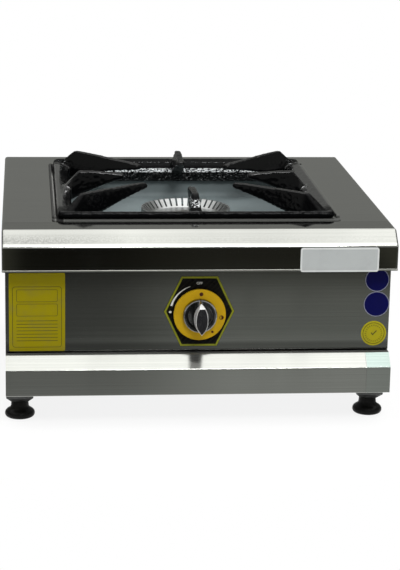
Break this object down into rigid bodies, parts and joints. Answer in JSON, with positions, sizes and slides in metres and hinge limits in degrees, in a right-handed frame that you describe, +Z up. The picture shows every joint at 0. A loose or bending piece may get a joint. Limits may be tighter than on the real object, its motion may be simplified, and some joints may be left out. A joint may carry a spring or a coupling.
{
  "type": "table-top gas stove",
  "caption": "Table-top gas stove: folded steel cabinet on levelling feet, cast pan grate over a ring burner in a lift-out drip tray, and a push-and-turn gas tap.",
  "frame": {"origin": "on the table under the middle of the stove's bounding box", "axes": "+X to the user's right, +Y from the front panel to the gas inlet at the back, +Z up"},
  "size_m": [0.4, 0.428, 0.229],
  "materials": {
    "stainless_sheet": "fine brushed stainless sheet",
    "zinc_sheet": "zinc-plated sheet",
    "zinc_steel": "zinc-plated",
    "brass": "machined brass",
    "aluminium_pipe": "drawn tube",
    "cast_aluminium": "as cast",
    "burner_crown": "machined",
    "tray_steel": "satin pressed steel",
    "black_enamel": "gloss enamel on a rough casting",
    "dial_black": "printed plate",
    "knob_black": "moulded",
    "knob_yellow": "moulded",
    "knob_chrome": "chrome plated",
    "foot_black": "moulded"
  },
  "bodies": {
    "cabinet": {"top_plate": "stainless_sheet", "left_side_panel": "stainless_sheet", "right_side_panel": "stainless_sheet", "rear_panel": "stainless_sheet", "control_panel": "stainless_sheet", "base_front": "stainless_sheet", "base_pan": "zinc_sheet", "foot_cups": "zinc_sheet", "valve_bracket": "zinc_sheet", "burner_bridge": "zinc_sheet", "air_shutter": "zinc_sheet", "thermocouple_clip": "zinc_sheet", "foot_nuts": "zinc_steel", "rear_screws": "zinc_steel", "plate_screws": "zinc_steel", "base_screws": "zinc_steel", "valve_screws": "zinc_steel", "tube_screws": "zinc_steel", "burner_screws": "zinc_steel", "thermocouple": "zinc_steel", "valve_body": "brass", "valve_bonnet": "brass", "pipe_nuts": "brass", "inlet_fitting": "brass", "inlet_locknut": "brass", "injector_elbow": "brass", "injector": "brass", "safety_magnet": "zinc_steel", "gas_pipe": "aluminium_pipe", "mixing_tube": "cast_aluminium", "burner_bowl": "cast_aluminium", "dial_plate": "dial_black"},
    "drip_tray": {"drip_tray": "tray_steel"},
    "grate": {"grate": "black_enamel"},
    "burner_cap": {"burner_cap": "burner_crown"},
    "tap_plug": {"valve_plug": "brass"},
    "knob": {"valve_spindle": "zinc_steel", "spindle_clip": "zinc_steel", "spindle_spring": "zinc_steel", "knob_core": "knob_black", "knob_skirt": "knob_yellow", "knob_cap": "knob_chrome"},
    "foot_front_left": {"foot_pad_front_left": "foot_black", "foot_stud_front_left": "zinc_steel"},
    "foot_front_right": {"foot_pad_front_right": "foot_black", "foot_stud_front_right": "zinc_steel"},
    "foot_rear_left": {"foot_pad_rear_left": "foot_black", "foot_stud_rear_left": "zinc_steel"},
    "foot_rear_right": {"foot_pad_rear_right": "foot_black", "foot_stud_rear_right": "zinc_steel"}
  },
  "joints": [
    {"name": "tray_lift", "type": "slide", "parent": "cabinet", "child": "drip_tray", "axis": [0, 0, 1], "range_m": [0, 0.1]},
    {"name": "grate_lift", "type": "slide", "parent": "drip_tray", "child": "grate", "axis": [0, 0, 1], "range_m": [0, 0.1]},
    {"name": "cap_lift", "type": "slide", "parent": "cabinet", "child": "burner_cap", "axis": [0, 0, 1], "range_m": [0, 0.08]},
    {"name": "knob_turn", "type": "hinge", "parent": "cabinet", "child": "tap_plug", "pos_m": [0, -0.15, 0.1172], "axis": [0, -1, 0], "range_deg": [0, 150]},
    {"name": "knob_push", "type": "slide", "parent": "tap_plug", "child": "knob", "axis": [0, 1, 0], "range_m": [0, 0.004], "stiffness_N_per_m": 2000, "springref_m": -0.002, "deforming": ["spindle_spring"]},
    {"name": "foot_front_left_level", "type": "slide", "parent": "cabinet", "child": "foot_front_left", "axis": [0, 0, -1], "range_m": [0, 0.012]},
    {"name": "foot_front_right_level", "type": "slide", "parent": "cabinet", "child": "foot_front_right", "axis": [0, 0, -1], "range_m": [0, 0.012]},
    {"name": "foot_rear_left_level", "type": "slide", "parent": "cabinet", "child": "foot_rear_left", "axis": [0, 0, -1], "range_m": [0, 0.012]},
    {"name": "foot_rear_right_level", "type": "slide", "parent": "cabinet", "child": "foot_rear_right", "axis": [0, 0, -1], "range_m": [0, 0.012]}
  ]
}
